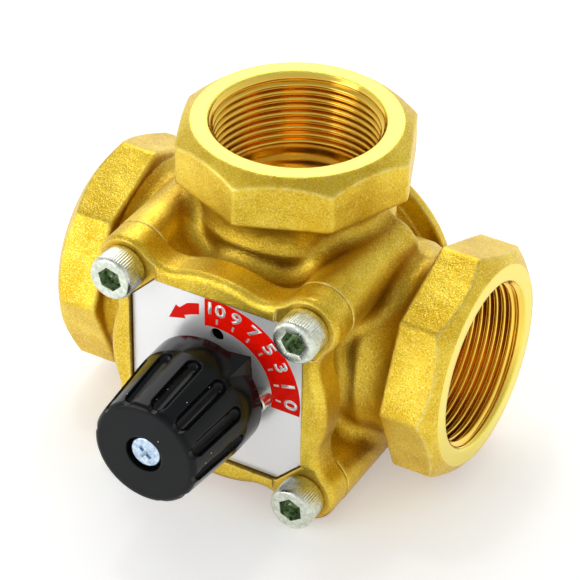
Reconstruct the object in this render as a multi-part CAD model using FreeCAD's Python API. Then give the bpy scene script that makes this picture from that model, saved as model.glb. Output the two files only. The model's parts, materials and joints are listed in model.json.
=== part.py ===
import FreeCAD, Part
import math
import os
from FreeCAD import Vector

# Three-way rotary mixing valve with a hand knob.  Millimetres.  It is drawn
# round the point where the port axes meet the spindle axis: +X is the right
# port, +Z the top port, -Y the front, where the cover, scale and knob are.
# The finished pieces move to a frame whose origin lies under the middle of
# the valve, on the surface that it stands on.

# ---- ports ----------------------------------------------------------------
PORT_FACE = 60.0            # centre of the valve to each port face
THREAD_R = 23.9             # G 1 1/2 major radius
THREAD_DEPTH = 22.5
MOUTH_CHAMFER = 0.5
RELIEF_R = 21.8             # smooth bore behind the thread
RELIEF_DEPTH = 26.0         # from the port face
SEAT_R = 20.5
SEAT_DEPTH = 28.5
WINDOW_R = 15.5             # opening into the rotor chamber
WINDOW_CONE = 6.5           # length of the taper from the seat to the window

COLLAR_CORNER_R = 34.0      # octagonal wrench collar, centre to corner
COLLAR_LENGTH = 15.5
COLLAR_FACE_R = 28.8        # machined ring round the thread
COLLAR_CHAMFER = 4.0        # height of the chamfer at a corner
COLLAR_EDGE_FILLET = 2.4
COLLAR_REAR_FILLET = 0.9
NECK_R = 27.6
NECK_WAIST_DEPTH = 1.1      # how far the neck draws in under the collar
NECK_WAIST_TO_COLLAR = 6.2
NECK_HOLLOW_R = 8.25        # arc of the hollow, from its ridge to the collar
NECK_RIDGE_R = 3.0          # arc of the ridge where the hollow begins

# ---- body -----------------------------------------------------------------
JOINT_Y = -34.5             # face between the body and its cover
CHAMBER_R = 25.5
CHAMBER_REAR = 22.0
DRUM_R = 29.5
DRUM_REAR = 30.0
REAR_DISC_R = 35.7
REAR_DISC_THICKNESS = 4.0
REAR_DISC_FILLET = 2.5
SCREW_HALF_PITCH = 27.95    # the cover screws stand on a square
PILLAR_R = 8.8
PILLAR_REAR = 2.5
PILLAR_BLEND = 9.0
WEB_FILLET = 4.0            # cast corners between necks, pillars and drum

# ---- cover ----------------------------------------------------------------
COVER_FRONT = -43.7
COVER_R = 33.5
COVER_LOBE_R = 8.7
COVER_BLEND = 11.0
COVER_FILLET = 2.6
SPOT_FACE_R = 9.8
SPOT_FACE_Y = -43.1
SPIGOT_R = 25.4
SPIGOT_REAR = -30.5
BOSS_R = 13.0
BOSS_REAR = -27.2
CENTRE_BOSS_R = 8.5
CENTRE_BOSS_FRONT = -42.9

# ---- scale plate ----------------------------------------------------------
PLATE_HALF = 26.4
PLATE_CORNER = 7.7
PLATE_FRONT = -42.3
PLATE_THICKNESS = 1.0
PLATE_GAP = 0.35            # recess clearance all round
PIN_CIRCLE_R = 14.8         # the locating pin and the spare pin hole
PIN_HEAD_R = 2.5
PIN_HEAD_ROUND = 0.6
PIN_TO_KNOB = 0.9
PIN_SHANK_R = 2.0
PIN_HOLE_DEPTH = 5.0

# ---- spindle --------------------------------------------------------------
STEM_R = 6.0
RUNNING_GAP = 0.05          # radial clearance of every shaft in its hole
JOURNAL_R = 5.0
JOURNAL_LENGTH = 4.8
BUSH_WALL = 2.0
BUSH_FLANGE_R = 8.5
BUSH_FLANGE = 1.0
END_PLAY = 0.1
SQUARE_AF = 8.0
SQUARE_LENGTH = 15.8
STEM_FRONT = -71.8
STEM_SCREW_R = 2.5
STEM_SCREW_DEPTH = 16.0
RING_SECTION_R = 0.69
RING_GROOVE_WIDTH = 1.9
RING_GROOVE_R = 4.65
RING_GROOVES_Y = (-36.6, -40.2)
COVER_RING_SECTION_R = 0.88
COVER_RING_GROOVE_R = 23.7
COVER_RING_GROOVE_WIDTH = 2.1
COVER_RING_Y = -32.35
CIRCLIP_R = 8.4
CIRCLIP_BORE_R = 5.55
CIRCLIP_THICKNESS = 1.0
WASHER_R = 11.0
WASHER_THICKNESS = 1.1
DRIVE_PIN_R = 1.5
DRIVE_PIN_Y = -22.0

# ---- rotor ----------------------------------------------------------------
HUB_R = 9.0
SHOE_GAP = 0.3
SHOE_THICKNESS = 4.2
SHOE_HALF_ANGLE = 41.0
SHOE_HALF_LENGTH = 17.3
WEB_HALF_ANGLE = 30.0
WEB_THICKNESS = 3.0
FINGER_R = 16.5
FINGER_HALF_ANGLE = 8.0
FINGER_LENGTH = 2.4
LUG_INNER_R = 12.5
LUG_OUTER_R = 18.0
LUG_ANGLE = 14.0
LUG_LENGTH = 3.0
LUG_MARGIN = 1.0            # degrees left before the finger meets a lug
TRAVEL = 90.0               # degrees from scale 0 to scale 10
REST_ANGLE = 50.0           # where the pointer stands at rest

# ---- knob -----------------------------------------------------------------
KNOB_RIM = -47.7
KNOB_END = -79.7
KNOB_SKIRT_R = 17.3
KNOB_SHOULDER = -56.0
KNOB_END_R = 15.5
KNOB_RIM_ROUND = 0.6
KNOB_END_ROUND = 1.8
KNOB_HUB_R = 8.2
KNOB_HUB_FRONT = -46.0
KNOB_CAVITY_RIM_R = 14.4
KNOB_CAVITY_R = 11.8
KNOB_CAVITY_END = -72.4
KNOB_RIB = 1.6
FLUTES = 12
FLUTE_R = 2.3
FLUTE_START = -59.5         # centre of the rounded end near the skirt
FLUTE_START_CENTRE_R = 17.0
FLUTE_STOP = -75.6          # centre of the rounded end near the knob's end
FLUTE_STOP_CENTRE_R = 15.4
SCALLOP_CENTRE_R = 16.9     # shallow notch that carries each flute to the end
POINTER_TIP_R = 21.2
POINTER_HALF_WIDTH = 5.4
POINTER_DEPTH = 5.75        # from the tip back to its hidden base
POINTER_TOP = -55.3
RECESS_R = 5.4
RECESS_DEPTH = 3.6
SOCKET_GAP = 0.05

# ---- fasteners ------------------------------------------------------------
M8_HEAD_R = 6.5
M8_HEAD_HEIGHT = 8.0
M8_SHANK_R = 4.0
M8_LENGTH = 30.0
M8_SOCKET_AF = 6.0
M8_SOCKET_DEPTH = 4.0
M8_HOLE_R = 4.5
M8_TAP_DEPTH = 24.0
TAP_GAP = 0.03
PAN_HEAD_R = 4.6
PAN_HEAD_HEIGHT = 2.8
PAN_HEAD_ROUND = 0.8
PAN_LENGTH = 15.0
CROSS_WIDTH = 1.1
CROSS_SPAN = 4.6
CROSS_DEPTH = 1.8

ORIGIN = Vector(0, 0, 0)
Y_AXIS = Vector(0, 1, 0)
Z_AXIS = Vector(0, 0, 1)
CLOSE = 1e-4            # two places that count as one
TANGENT_ENOUGH = 5.0    # degrees between faces that still count as smooth
ARC_MID = 1 - math.sqrt(0.5)    # middle of a quarter round, as a share of its radius


# ---- small helpers --------------------------------------------------------
def polar(radius, degrees, y=0.0):
    """A point in the plane at y, counted from +X towards +Z."""
    a = math.radians(degrees)
    return Vector(radius * math.cos(a), y, radius * math.sin(a))


def cyl(radius, y0, y1, x=0.0, z=0.0):
    """A cylinder along Y between y0 and y1."""
    low, high = min(y0, y1), max(y0, y1)
    return Part.makeCylinder(radius, high - low, Vector(x, low, z), Y_AXIS)


def path(start, *steps):
    """Edges from start: a step is a point, or (point on the arc, end point)."""
    edges = []
    here = start
    for step in steps:
        if isinstance(step, tuple):
            edges.append(Part.Arc(here, step[0], step[1]).toShape())
            here = step[1]
        else:
            edges.append(Part.LineSegment(here, step).toShape())
            here = step
    return edges


def turned(points, axis=Y_AXIS):
    """Revolve a closed (radius, height) outline about Y or Z."""
    if axis == Y_AXIS:
        corners = [Vector(r, h, 0) for r, h in points]
    else:
        corners = [Vector(r, 0, h) for r, h in points]
    face = Part.Face(Part.makePolygon(corners + corners[:1]))
    return face.revolve(ORIGIN, axis, 360)


def sector(r0, r1, a0, a1, y0, y1):
    """Part of a ring between two radii, two angles and two heights."""
    mid = (a0 + a1) / 2
    edges = path(polar(r0, a0, y0), polar(r1, a0, y0),
                 (polar(r1, mid, y0), polar(r1, a1, y0)), polar(r0, a1, y0),
                 (polar(r0, mid, y0), polar(r0, a0, y0)))
    return Part.Face(Part.Wire(edges)).extrude(Vector(0, y1 - y0, 0))


def lobed(disc_r, lobe_r, blend_r, y0, y1):
    """A disc with four round lobes on the screw square, blended by arcs."""
    reach = SCREW_HALF_PITCH * math.sqrt(2)
    to_blend = disc_r + blend_r
    lobe_to_blend = lobe_r + blend_r
    cosine = (to_blend ** 2 + reach ** 2 - lobe_to_blend ** 2) / (2 * to_blend * reach)
    swing = math.degrees(math.acos(cosine))
    edges = []
    start = polar(disc_r, 45 - swing, y0)
    here = start
    for lobe in (45, 135, 225, 315):
        centre = polar(reach, lobe, y0)
        touches = []
        for side in (-swing, swing):
            blend = polar(to_blend, lobe + side, y0)
            on_lobe = centre + (blend - centre).normalize() * lobe_r
            on_disc = polar(disc_r, lobe + side, y0)
            inward = ((on_lobe + on_disc) / 2 - blend).normalize() * blend_r
            touches.append((on_disc, blend + inward, on_lobe))
        (disc_a, mid_a, lobe_a), (disc_b, mid_b, lobe_b) = touches
        lobe_top = polar(reach + lobe_r, lobe, y0)
        next_disc = polar(disc_r, lobe + 90 - swing, y0)
        edges += path(here, (mid_a, lobe_a), (lobe_top, lobe_b), (mid_b, disc_b),
                      (polar(disc_r, lobe + 45, y0), next_disc))
        here = next_disc
    return Part.Face(Part.Wire(edges)).extrude(Vector(0, y1 - y0, 0))


def edges_at(shape, y):
    """Edges that lie in the plane at y."""
    return [e for e in shape.Edges
            if abs(e.BoundBox.YMin - y) < CLOSE and abs(e.BoundBox.YMax - y) < CLOSE]


def corner_edges(shape):
    """Edges where two curved faces meet at more than a few degrees."""
    found = []
    for edge in shape.Edges:
        faces = shape.ancestorsOfType(edge, Part.Face)
        if len(faces) != 2 or any(isinstance(f.Surface, Part.Plane) for f in faces):
            continue
        u = (edge.FirstParameter + edge.LastParameter) / 2
        point = edge.valueAt(u)
        normals = [f.normalAt(*f.Surface.parameter(point)) for f in faces]
        if normals[0].getAngle(normals[1]) > math.radians(TANGENT_ENOUGH):
            found.append(edge)
    return found


def screw_places():
    s = SCREW_HALF_PITCH
    return {"top_left": (-s, s), "top_right": (s, s),
            "bottom_left": (-s, -s), "bottom_right": (s, -s)}


def at_rest(shape):
    """Turn a spindle piece, modelled at scale 0, to its rest angle."""
    turned_shape = shape.copy()
    turned_shape.rotate(ORIGIN, Vector(0, -1, 0), REST_ANGLE)
    return turned_shape


# ---- body -----------------------------------------------------------------
def collar():
    """Octagonal wrench collar of the top port, chamfered to a round face."""
    low = PORT_FACE - COLLAR_LENGTH
    corners = []
    for k in range(8):
        a = math.radians(45 * k)
        corners.append(Vector(COLLAR_CORNER_R * math.cos(a), COLLAR_CORNER_R * math.sin(a), low))
    face = Part.Face(Part.makePolygon(corners + corners[:1]))
    prism = face.extrude(Vector(0, 0, COLLAR_LENGTH))
    uprights = [e for e in prism.Edges if e.BoundBox.ZLength > COLLAR_LENGTH / 2]
    prism = prism.makeFillet(COLLAR_EDGE_FILLET, uprights)
    rear = [e for e in prism.Edges if e.BoundBox.ZMax < low + CLOSE]
    prism = prism.makeFillet(COLLAR_REAR_FILLET, rear)
    slope = COLLAR_CHAMFER / (COLLAR_CORNER_R - COLLAR_FACE_R)
    wide = COLLAR_CORNER_R + 6
    envelope = turned([(0, low), (wide, low), (wide, PORT_FACE - slope * (wide - COLLAR_FACE_R)),
                       (COLLAR_FACE_R, PORT_FACE), (0, PORT_FACE)], Z_AXIS)
    return prism.common(envelope)


def neck():
    """Round neck with a hollow waist that flares into the collar."""
    collar_rear = PORT_FACE - COLLAR_LENGTH
    end = collar_rear + COLLAR_REAR_FILLET
    waist = collar_rear - NECK_WAIST_TO_COLLAR
    waist_r = NECK_R - NECK_WAIST_DEPTH
    reach = NECK_HOLLOW_R + NECK_RIDGE_R
    inward = reach - NECK_WAIST_DEPTH
    rise = math.sqrt(reach ** 2 - inward ** 2)
    half_turn = math.atan2(rise, inward) / 2
    ridge_start = waist - rise
    ridge_centre = Vector(NECK_R - NECK_RIDGE_R, 0, ridge_start)
    ridge_mid = ridge_centre + Vector(math.cos(half_turn), 0, math.sin(half_turn)) * NECK_RIDGE_R
    hollow_start = ridge_centre + Vector(inward, 0, rise) * (NECK_RIDGE_R / reach)
    end_r = waist_r + NECK_HOLLOW_R - math.sqrt(NECK_HOLLOW_R ** 2 - (end - waist) ** 2)
    edges = path(ORIGIN, Vector(NECK_R, 0, 0), Vector(NECK_R, 0, ridge_start),
                 (ridge_mid, hollow_start),
                 (Vector(waist_r, 0, waist), Vector(end_r, 0, end)),
                 Vector(0, 0, end), ORIGIN)
    return Part.Face(Part.Wire(edges)).revolve(ORIGIN, Z_AXIS, 360)


def port_bore():
    """What is cut out of one port, from its mouth into the chamber."""
    face = PORT_FACE
    mouth_r = THREAD_R + MOUTH_CHAMFER
    window_start = face - SEAT_DEPTH - WINDOW_CONE
    inner_end = math.sqrt(CHAMBER_R ** 2 - WINDOW_R ** 2) - 1.0
    return turned([(0, face + 1), (mouth_r, face + 1), (mouth_r, face),
                   (THREAD_R, face - MOUTH_CHAMFER), (THREAD_R, face - THREAD_DEPTH),
                   (RELIEF_R, face - THREAD_DEPTH), (RELIEF_R, face - RELIEF_DEPTH),
                   (SEAT_R, face - RELIEF_DEPTH), (SEAT_R, face - SEAT_DEPTH),
                   (WINDOW_R, window_start), (WINDOW_R, inner_end), (0, inner_end)],
                  Z_AXIS)


def three_ports(shape):
    """Copies of a top-port shape for the right, top and left ports."""
    copies = []
    for turn in (90, 0, -90):
        copy = shape.copy()
        copy.rotate(ORIGIN, Y_AXIS, turn)
        copies.append(copy)
    return copies


def stop_lugs():
    """Two lugs on the chamber's rear wall that end the spindle's travel."""
    clear = FINGER_HALF_ANGLE + LUG_MARGIN
    front = CHAMBER_REAR - LUG_LENGTH
    lugs = []
    for low in (180 - clear - LUG_ANGLE, 180 + TRAVEL + clear):
        lugs.append(sector(LUG_INNER_R, LUG_OUTER_R, low, low + LUG_ANGLE, front, CHAMBER_REAR + 1))
    return lugs


def cast_corners(form, necks, y0, y1):
    """A long form with the necks let into it, filleted, then cut to a slab."""
    joined = form.fuse(necks).removeSplitter()
    joined = joined.makeFillet(WEB_FILLET, corner_edges(joined))
    wide = 2 * PORT_FACE
    slab = Part.makeBox(2 * wide, y1 - y0, 2 * wide, Vector(-wide, y0, -wide))
    return joined.common(slab)


def casting():
    """Drum, necks, screw pillars, rear disc and collars, with cast fillets."""
    necks = three_ports(neck())
    beyond = PORT_FACE
    pillars = lobed(DRUM_R, PILLAR_R, PILLAR_BLEND, -beyond, beyond)
    front = cast_corners(pillars, necks, JOINT_Y, PILLAR_REAR)
    rear = cast_corners(cyl(DRUM_R, -beyond, beyond), necks, PILLAR_REAR, DRUM_REAR)
    disc = cyl(REAR_DISC_R, DRUM_REAR - REAR_DISC_THICKNESS, DRUM_REAR)
    disc = disc.makeFillet(REAR_DISC_FILLET, edges_at(disc, DRUM_REAR))
    return front.fuse([rear, disc] + three_ports(collar()))


def valve_body():
    cuts = three_ports(port_bore())
    cuts.append(cyl(CHAMBER_R, JOINT_Y - 1, CHAMBER_REAR))
    bush_r = JOURNAL_R + RUNNING_GAP + BUSH_WALL
    cuts.append(cyl(bush_r, CHAMBER_REAR - 1, CHAMBER_REAR + JOURNAL_LENGTH + 0.4))
    tap_r = M8_SHANK_R + TAP_GAP
    for x, z in screw_places().values():
        cuts.append(cyl(tap_r, JOINT_Y - 1, JOINT_Y + M8_TAP_DEPTH, x, z))
    return casting().cut(cuts).fuse(stop_lugs()).removeSplitter()


# ---- cover and scale ------------------------------------------------------
def plate_outline(half, corner, y0, y1):
    """A square with cut corners."""
    inner = half - corner
    ring = [(half, inner), (inner, half), (-inner, half), (-half, inner),
            (-half, -inner), (-inner, -half), (inner, -half), (half, -inner)]
    corners = [Vector(x, y0, z) for x, z in ring]
    face = Part.Face(Part.makePolygon(corners + corners[:1]))
    return face.extrude(Vector(0, y1 - y0, 0))


def front_cover():
    seat_y = PLATE_FRONT + PLATE_THICKNESS
    shell = lobed(COVER_R, COVER_LOBE_R, COVER_BLEND, COVER_FRONT, JOINT_Y)
    shell = shell.makeFillet(COVER_FILLET, edges_at(shell, COVER_FRONT))
    ring_half = COVER_RING_GROOVE_WIDTH / 2
    spigot = turned([(0, JOINT_Y), (SPIGOT_R, JOINT_Y), (SPIGOT_R, COVER_RING_Y - ring_half),
                     (COVER_RING_GROOVE_R, COVER_RING_Y - ring_half),
                     (COVER_RING_GROOVE_R, COVER_RING_Y + ring_half),
                     (SPIGOT_R, COVER_RING_Y + ring_half), (SPIGOT_R, SPIGOT_REAR),
                     (BOSS_R, SPIGOT_REAR), (BOSS_R, BOSS_REAR), (0, BOSS_REAR)])
    solid = shell.fuse(spigot)
    recess = plate_outline(PLATE_HALF + PLATE_GAP, PLATE_CORNER, COVER_FRONT - 1, seat_y)
    recess = recess.cut(cyl(CENTRE_BOSS_R, CENTRE_BOSS_FRONT, seat_y))
    cuts = [recess, cyl(STEM_R + RUNNING_GAP, COVER_FRONT - 1, BOSS_REAR + 1)]
    bush_r = STEM_R + RUNNING_GAP + BUSH_WALL
    cuts.append(cyl(bush_r, JOINT_Y + 0.5, BOSS_REAR + 1))
    for x, z in screw_places().values():
        cuts.append(cyl(SPOT_FACE_R, COVER_FRONT - 1, SPOT_FACE_Y, x, z))
        cuts.append(cyl(M8_HOLE_R, COVER_FRONT - 1, JOINT_Y + 1, x, z))
    for x, z in ((PIN_CIRCLE_R, 0), (0, PIN_CIRCLE_R)):
        cuts.append(cyl(PIN_SHANK_R + TAP_GAP, COVER_FRONT, seat_y + PIN_HOLE_DEPTH, x, z))
    return solid.cut(cuts)


def scale_plate():
    rear = PLATE_FRONT + PLATE_THICKNESS
    plate = plate_outline(PLATE_HALF, PLATE_CORNER, PLATE_FRONT, rear)
    holes = [cyl(CENTRE_BOSS_R + PLATE_GAP, PLATE_FRONT - 1, rear + 1),
             cyl(PIN_HEAD_R + TAP_GAP, PLATE_FRONT - 1, rear + 1, PIN_CIRCLE_R, 0),
             cyl(PIN_SHANK_R + TAP_GAP, PLATE_FRONT - 1, rear + 1, 0, PIN_CIRCLE_R)]
    return plate.cut(holes)


def locating_pin():
    seat_y = PLATE_FRONT + PLATE_THICKNESS
    front = KNOB_RIM + PIN_TO_KNOB
    head = cyl(PIN_HEAD_R, front, seat_y, PIN_CIRCLE_R, 0)
    head = head.makeFillet(PIN_HEAD_ROUND, edges_at(head, front))
    shank = cyl(PIN_SHANK_R, seat_y, seat_y + PIN_HOLE_DEPTH - 0.5, PIN_CIRCLE_R, 0)
    return head.fuse(shank).removeSplitter()


# ---- seals and bearings ---------------------------------------------------
def ring_seal(middle_r, section_r, y):
    return Part.makeTorus(middle_r, section_r, Vector(0, y, 0), Y_AXIS)


def stem_bush():
    outer = STEM_R + RUNNING_GAP + BUSH_WALL - TAP_GAP
    front = JOINT_Y + 0.6
    return cyl(outer, front, BOSS_REAR).cut(cyl(STEM_R + RUNNING_GAP, front - 1, BOSS_REAR + 1))


def rear_bush():
    """Flanged bush in the rear wall, under the spindle's end journal."""
    outer = JOURNAL_R + RUNNING_GAP + BUSH_WALL - TAP_GAP
    rear = CHAMBER_REAR + JOURNAL_LENGTH + 0.3
    sleeve = cyl(outer, CHAMBER_REAR - BUSH_FLANGE, rear)
    flange = cyl(BUSH_FLANGE_R, CHAMBER_REAR - BUSH_FLANGE, CHAMBER_REAR)
    bore = cyl(JOURNAL_R + RUNNING_GAP, CHAMBER_REAR - 2, rear + 1)
    return sleeve.fuse(flange).cut(bore).removeSplitter()


def thrust_washer():
    rear = BOSS_REAR + WASHER_THICKNESS
    return cyl(WASHER_R, BOSS_REAR, rear).cut(cyl(STEM_R + RUNNING_GAP, BOSS_REAR - 1, rear + 1))


# ---- spindle and rotor ----------------------------------------------------
def hub_ends():
    """Front and rear faces of the rotor hub, with end play at both."""
    front = BOSS_REAR + WASHER_THICKNESS + END_PLAY
    rear = CHAMBER_REAR - BUSH_FLANGE - END_PLAY
    return front, rear


def circlip_span():
    front = CENTRE_BOSS_FRONT - END_PLAY - CIRCLIP_THICKNESS
    return front, front + CIRCLIP_THICKNESS


def stem():
    rear = hub_ends()[1]
    round_part = cyl(STEM_R, STEM_FRONT + SQUARE_LENGTH, rear)
    journal = cyl(JOURNAL_R, rear, CHAMBER_REAR + JOURNAL_LENGTH)
    half = SQUARE_AF / 2
    square = Part.makeBox(SQUARE_AF, SQUARE_LENGTH, SQUARE_AF, Vector(-half, STEM_FRONT, -half))
    square = square.common(cyl(STEM_R - 0.6, STEM_FRONT, STEM_FRONT + SQUARE_LENGTH))
    solid = round_part.fuse([journal, square])
    cuts = []
    for y in RING_GROOVES_Y:
        low, high = y - RING_GROOVE_WIDTH / 2, y + RING_GROOVE_WIDTH / 2
        cuts.append(cyl(STEM_R + 1, low, high).cut(cyl(RING_GROOVE_R, low, high)))
    low, high = circlip_span()
    cuts.append(cyl(STEM_R + 1, low - 0.05, high + 0.05).cut(cyl(CIRCLIP_BORE_R - 0.05, low - 1, high + 1)))
    cuts.append(cyl(STEM_SCREW_R + TAP_GAP, STEM_FRONT - 1, STEM_FRONT + STEM_SCREW_DEPTH))
    cuts.append(drive_pin_shape(DRIVE_PIN_R + TAP_GAP, HUB_R + 1))
    return at_rest(solid.cut(cuts))


def drive_pin_shape(radius, half_length):
    return Part.makeCylinder(radius, 2 * half_length, Vector(0, DRIVE_PIN_Y, -half_length),
                             Vector(0, 0, 1))


def drive_pin():
    return at_rest(drive_pin_shape(DRIVE_PIN_R, HUB_R - 0.2))


def circlip():
    low, high = circlip_span()
    opening = 18.0
    return at_rest(sector(CIRCLIP_BORE_R, CIRCLIP_R, opening, 360 - opening, low, high))


def rotor():
    """Sector shoe on a hub, with two webs and a stop finger."""
    front, rear = hub_ends()
    outer = CHAMBER_R - SHOE_GAP
    inner = outer - SHOE_THICKNESS
    half = SHOE_HALF_LENGTH
    pieces = [sector(inner, outer, -SHOE_HALF_ANGLE, SHOE_HALF_ANGLE, -half, half)]
    for low in (-half, half - WEB_THICKNESS):
        pieces.append(sector(HUB_R - 2, inner + 1, -WEB_HALF_ANGLE, WEB_HALF_ANGLE,
                             low, low + WEB_THICKNESS))
    pieces.append(sector(HUB_R - 2, FINGER_R, 180 - FINGER_HALF_ANGLE, 180 + FINGER_HALF_ANGLE,
                         rear - FINGER_LENGTH, rear))
    solid = cyl(HUB_R, front, rear).fuse(pieces)
    cuts = [cyl(STEM_R + TAP_GAP, front - 1, rear + 1),
            drive_pin_shape(DRIVE_PIN_R + TAP_GAP, HUB_R + 1)]
    return at_rest(solid.cut(cuts).removeSplitter())


# ---- knob -----------------------------------------------------------------
def knob_shell():
    """Skirt and tapered grip with its hollow underside and flat end."""
    rim_in = KNOB_SKIRT_R - KNOB_RIM_ROUND
    mid = ARC_MID * KNOB_END_ROUND
    outside = path(Vector(0, KNOB_RIM, 0), Vector(rim_in, KNOB_RIM, 0),
                   Vector(KNOB_SKIRT_R, KNOB_RIM - KNOB_RIM_ROUND, 0),
                   Vector(KNOB_SKIRT_R, KNOB_SHOULDER, 0),
                   Vector(KNOB_END_R, KNOB_END + KNOB_END_ROUND, 0),
                   (Vector(KNOB_END_R - mid, KNOB_END + mid, 0),
                    Vector(KNOB_END_R - KNOB_END_ROUND, KNOB_END, 0)),
                   Vector(0, KNOB_END, 0), Vector(0, KNOB_RIM, 0))
    solid = Part.Face(Part.Wire(outside)).revolve(ORIGIN, Y_AXIS, 360)
    cavity = turned([(0, KNOB_RIM + 1), (KNOB_CAVITY_RIM_R, KNOB_RIM + 1),
                     (KNOB_CAVITY_RIM_R, KNOB_RIM - 2), (KNOB_CAVITY_R, KNOB_SHOULDER),
                     (KNOB_CAVITY_R, KNOB_CAVITY_END), (0, KNOB_CAVITY_END)])
    return solid.cut(cavity)


def pointer_nose():
    """Pointed nose on the skirt: two slopes that meet in a ridge."""
    base = POINTER_TIP_R - POINTER_DEPTH
    tip = Vector(POINTER_TIP_R, KNOB_RIM, 0)
    left = Vector(base, KNOB_RIM, POINTER_HALF_WIDTH)
    right = Vector(base, KNOB_RIM, -POINTER_HALF_WIDTH)
    top = Vector(KNOB_SKIRT_R - 0.1, POINTER_TOP, 0)
    faces = []
    for a, b, c in ((left, right, tip), (left, tip, top), (tip, right, top), (right, left, top)):
        faces.append(Part.Face(Part.makePolygon([a, b, c, a])))
    return Part.Solid(Part.Shell(faces))


def flute_cutters():
    """Round-ended grooves that follow the grip's taper, and end scallops."""
    start = Vector(FLUTE_START_CENTRE_R, FLUTE_START, 0)
    stop = Vector(FLUTE_STOP_CENTRE_R, FLUTE_STOP, 0)
    along = stop - start
    groove = Part.makeCylinder(FLUTE_R, along.Length, start, along)
    ends = [Part.makeSphere(FLUTE_R, start), Part.makeSphere(FLUTE_R, stop)]
    scallop = cyl(FLUTE_R, KNOB_END - 1, FLUTE_STOP, SCALLOP_CENTRE_R)
    flute = groove.fuse(ends + [scallop])
    cutters = []
    for k in range(FLUTES):
        cutter = flute.copy()
        cutter.rotate(ORIGIN, Y_AXIS, 360.0 * k / FLUTES)
        cutters.append(cutter)
    return cutters


def knob():
    square = SQUARE_AF + 2 * SOCKET_GAP
    half = square / 2
    square_end = STEM_FRONT + SQUARE_LENGTH
    hub = cyl(KNOB_HUB_R, KNOB_HUB_FRONT, KNOB_CAVITY_END)
    ribs = []
    for a in (45, 135):
        rib = Part.makeBox(2 * KNOB_CAVITY_R + 1, KNOB_SHOULDER - 2 - KNOB_CAVITY_END, KNOB_RIB,
                           Vector(-KNOB_CAVITY_R - 0.5, KNOB_CAVITY_END, -KNOB_RIB / 2))
        rib.rotate(ORIGIN, Y_AXIS, a)
        ribs.append(rib)
    shell = knob_shell().cut(flute_cutters())
    solid = shell.fuse([hub, pointer_nose()] + ribs)
    socket = Part.makeBox(square, square_end - KNOB_CAVITY_END + 0.2, square,
                          Vector(-half, STEM_FRONT - 0.1, -half))
    cuts = [socket, cyl(STEM_R + SOCKET_GAP, square_end, KNOB_HUB_FRONT + 1),
            cyl(RECESS_R, KNOB_END - 1, KNOB_END + RECESS_DEPTH),
            cyl(STEM_SCREW_R + 0.2, KNOB_END, STEM_FRONT + 1)]
    return at_rest(solid.cut(cuts).removeSplitter())


# ---- fasteners ------------------------------------------------------------
def cap_screw(x, z):
    """M8 socket-head cap screw with its head on the spot face."""
    top = SPOT_FACE_Y - M8_HEAD_HEIGHT
    head = cyl(M8_HEAD_R, top, SPOT_FACE_Y)
    head = head.makeFillet(0.8, edges_at(head, top))
    shank = cyl(M8_SHANK_R, SPOT_FACE_Y, SPOT_FACE_Y + M8_LENGTH)
    corner_r = M8_SOCKET_AF / 2 / math.cos(math.radians(30))
    corners = [polar(corner_r, 60 * k + 15, top - 1) for k in range(6)]
    hexagon = Part.Face(Part.makePolygon(corners + corners[:1]))
    socket = hexagon.extrude(Vector(0, M8_SOCKET_DEPTH + 1, 0))
    screw = head.fuse(shank).removeSplitter().cut(socket)
    screw.translate(Vector(x, 0, z))
    return screw


def knob_screw():
    """Pan-head screw with a cross recess, in the knob's end."""
    seat = KNOB_END + RECESS_DEPTH
    top = seat - PAN_HEAD_HEIGHT
    rim = PAN_HEAD_R - PAN_HEAD_ROUND
    mid = ARC_MID * PAN_HEAD_ROUND
    outline = path(Vector(0, seat, 0), Vector(PAN_HEAD_R, seat, 0),
                   Vector(PAN_HEAD_R, top + PAN_HEAD_ROUND, 0),
                   (Vector(PAN_HEAD_R - mid, top + mid, 0), Vector(rim, top, 0)),
                   Vector(0, top, 0), Vector(0, seat, 0))
    head = Part.Face(Part.Wire(outline)).revolve(ORIGIN, Y_AXIS, 360)
    shank = cyl(STEM_SCREW_R, seat, seat + PAN_LENGTH)
    cross = []
    for turn in (0, 90):
        slot = Part.makeBox(CROSS_SPAN, CROSS_DEPTH, CROSS_WIDTH,
                            Vector(-CROSS_SPAN / 2, top - 0.3, -CROSS_WIDTH / 2))
        slot.rotate(ORIGIN, Y_AXIS, turn)
        cross.append(slot)
    taper = Part.makeCone(CROSS_SPAN / 2 + 0.2, 0.6, CROSS_DEPTH + 0.3, Vector(0, top - 0.3, 0), Y_AXIS)
    recess = cross[0].fuse(cross[1]).common(taper)
    return at_rest(head.fuse(shank).cut(recess))


def build():
    nodes = {
        "valve_body": valve_body(),
        "front_cover": front_cover(),
        "cover_ring_seal": ring_seal(COVER_RING_GROOVE_R + COVER_RING_SECTION_R + 0.02,
                                     COVER_RING_SECTION_R, COVER_RING_Y),
        "scale_plate": scale_plate(),
        "locating_pin": locating_pin(),
        "stem_bush": stem_bush(),
        "rear_bush": rear_bush(),
        "thrust_washer": thrust_washer(),
        "rotor": rotor(),
        "stem": stem(),
        "drive_pin": drive_pin(),
        "stem_circlip": circlip(),
        "knob": knob(),
        "knob_screw": knob_screw(),
    }
    for name, y in zip(("inner", "outer"), RING_GROOVES_Y):
        middle = RING_GROOVE_R + RING_SECTION_R + 0.005
        nodes["stem_ring_seal_" + name] = ring_seal(middle, RING_SECTION_R, y)
    for name, (x, z) in screw_places().items():
        nodes["cap_screw_" + name] = cap_screw(x, z)
    return nodes


corner_reach = COLLAR_CORNER_R - COLLAR_EDGE_FILLET * (1 / math.cos(math.radians(22.5)) - 1)
to_frame = Vector(0, -(KNOB_END + corner_reach) / 2, SCREW_HALF_PITCH + PILLAR_R)
os.makedirs("parts", exist_ok=True)
for node, shape in build().items():
    shape.translate(to_frame)
    shape.exportStep("parts/" + node + ".step")
    print(node, "solids", len(shape.Solids), "valid", shape.isValid(), "mm3", round(shape.Volume))
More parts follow.
